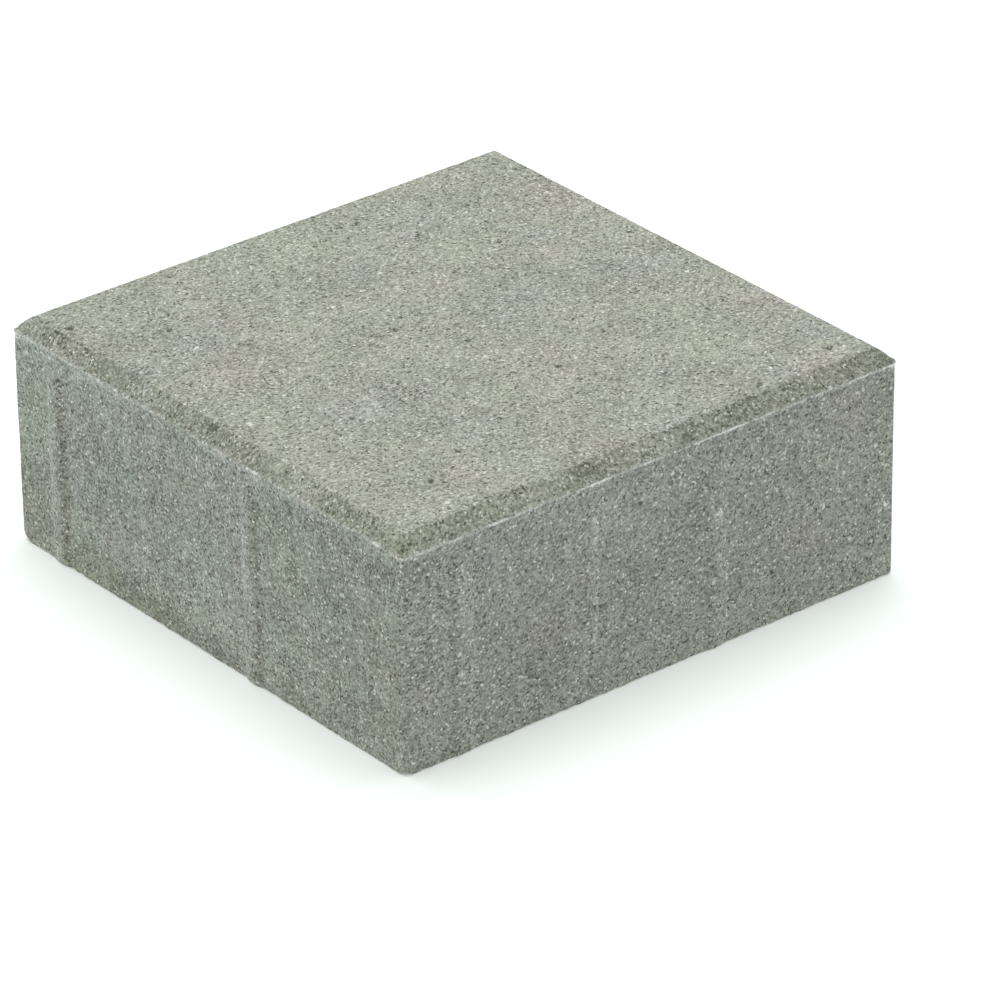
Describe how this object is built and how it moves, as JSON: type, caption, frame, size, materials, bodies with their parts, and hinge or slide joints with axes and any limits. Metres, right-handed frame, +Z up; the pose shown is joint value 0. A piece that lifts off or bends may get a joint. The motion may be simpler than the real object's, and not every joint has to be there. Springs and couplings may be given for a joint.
{
  "type": "concrete paving stone",
  "caption": "Square concrete paving stone with a bevelled top edge and upright spacer ribs on its sides, laid on bedding sand with its wear face up.",
  "frame": {"origin": "middle of the bed face, on the surface the stone lies on", "axes": "+Z up through the wear face; X and Y square to the block's sides"},
  "size_m": [0.2, 0.2, 0.08],
  "materials": {
    "concrete": "rough cast grey concrete, fine open grain"
  },
  "bodies": {
    "root": {"paving_stone": "concrete"}
  },
  "joints": []
}
